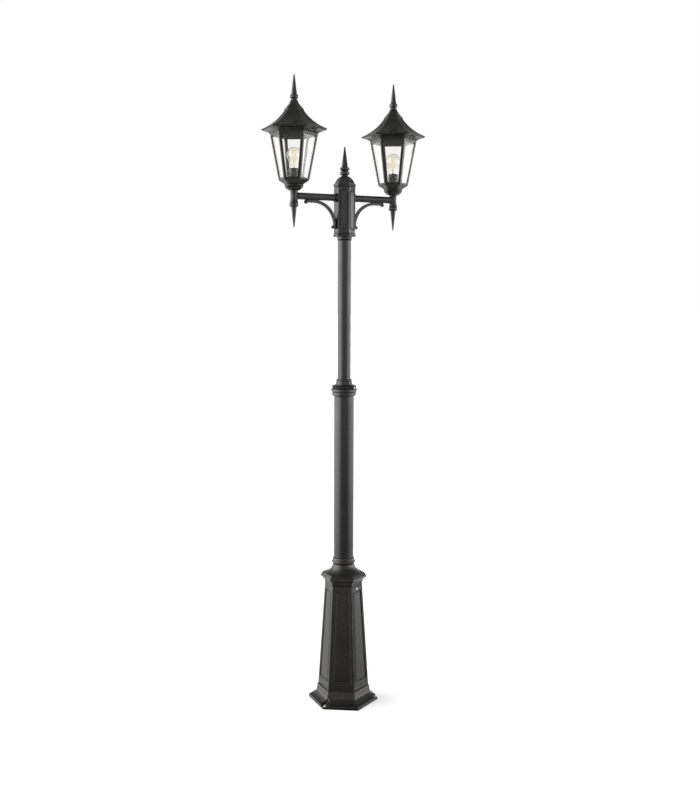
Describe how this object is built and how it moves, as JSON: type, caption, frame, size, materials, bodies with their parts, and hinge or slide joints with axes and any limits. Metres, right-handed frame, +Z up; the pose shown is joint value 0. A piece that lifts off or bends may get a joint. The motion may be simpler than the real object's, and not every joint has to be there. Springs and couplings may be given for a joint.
{
  "type": "double head lamp post",
  "caption": "Black garden lamp post: six-sided tapering pedestal, round tube in two sizes with a ringed collar, and twin glazed six-sided lanterns on bracketed arms.",
  "frame": {"origin": "on the post axis at the ground, under the middle of the foot", "axes": "+Z up the post, +X along the right arm, +Y to the back, away from the service door side"},
  "size_m": [0.6308, 0.268, 2.3795],
  "materials": {
    "black_coat": "satin black powder coat",
    "clear_pane": "clear flat pane",
    "lamp_glass": "clear blown glass",
    "lamp_stem": "clear pressed glass",
    "lamp_cap": "bright nickel",
    "filament": "bare wire",
    "black_plastic": "moulded, satin",
    "brass": "bright pressed brass",
    "bright_screw": "bright zinc",
    "dark_screw": "blackened",
    "grey_plastic": "moulded, matt",
    "pale_plastic": "moulded, matt",
    "black_cable": "matt sheath"
  },
  "bodies": {
    "post": {"base_pedestal": "black_coat", "connection_box": "grey_plastic", "connection_box_lid": "grey_plastic", "terminal_strip": "pale_plastic", "post_cable": "black_cable", "lower_tube": "black_coat", "collar_ring": "black_coat", "collar_cone": "black_coat", "collar_screws": "bright_screw", "upper_tube": "black_coat"},
    "door": {"base_door": "black_coat", "door_screw": "bright_screw"},
    "head": {"hub_body": "black_coat", "hub_cap": "black_coat", "hub_screws": "dark_screw", "hub_finial": "black_coat", "hub_terminal_block": "pale_plastic", "roof_screws": "dark_screw", "stem_nuts": "bright_screw", "left_arm": "black_coat", "left_arm_end": "black_coat", "left_drop_finial": "black_coat", "left_brace": "black_coat", "left_arm_cable": "black_cable", "left_neck_cup": "black_coat", "left_pan": "black_coat", "left_cage": "black_coat", "left_panes": "clear_pane", "left_eave": "black_coat", "left_stem": "bright_screw", "left_lampholder": "black_plastic", "left_lampholder_contacts": "brass", "right_arm": "black_coat", "right_arm_end": "black_coat", "right_drop_finial": "black_coat", "right_brace": "black_coat", "right_arm_cable": "black_cable", "right_neck_cup": "black_coat", "right_pan": "black_coat", "right_cage": "black_coat", "right_panes": "clear_pane", "right_eave": "black_coat", "right_stem": "bright_screw", "right_lampholder": "black_plastic", "right_lampholder_contacts": "brass"},
    "left_roof": {"left_roof": "black_coat", "left_roof_cap": "black_coat", "left_roof_finial": "black_coat"},
    "left_bulb": {"left_bulb_glass": "lamp_glass", "left_bulb_cap": "lamp_cap", "left_bulb_mount": "lamp_stem", "left_bulb_filament": "filament"},
    "right_roof": {"right_roof": "black_coat", "right_roof_cap": "black_coat", "right_roof_finial": "black_coat"},
    "right_bulb": {"right_bulb_glass": "lamp_glass", "right_bulb_cap": "lamp_cap", "right_bulb_mount": "lamp_stem", "right_bulb_filament": "filament"}
  },
  "joints": [
    {"name": "head_swivel", "type": "hinge", "parent": "post", "child": "head", "pos_m": [0, 0, 1.769], "axis": [0, 0, 1], "range_deg": [-180, 180]},
    {"name": "door_tilt", "type": "hinge", "parent": "post", "child": "door", "pos_m": [0.04183, -0.07245, 0.07398], "axis": [0.866, 0.5, 0], "range_deg": [0, 40]},
    {"name": "left_roof_lift", "type": "slide", "parent": "head", "child": "left_roof", "axis": [0, 0, 1], "range_m": [0, 0.2]},
    {"name": "left_bulb_unscrew", "type": "slide", "parent": "head", "child": "left_bulb", "axis": [0, 0, 1], "range_m": [0, 0.03]},
    {"name": "right_roof_lift", "type": "slide", "parent": "head", "child": "right_roof", "axis": [0, 0, 1], "range_m": [0, 0.2]},
    {"name": "right_bulb_unscrew", "type": "slide", "parent": "head", "child": "right_bulb", "axis": [0, 0, 1], "range_m": [0, 0.03]}
  ]
}
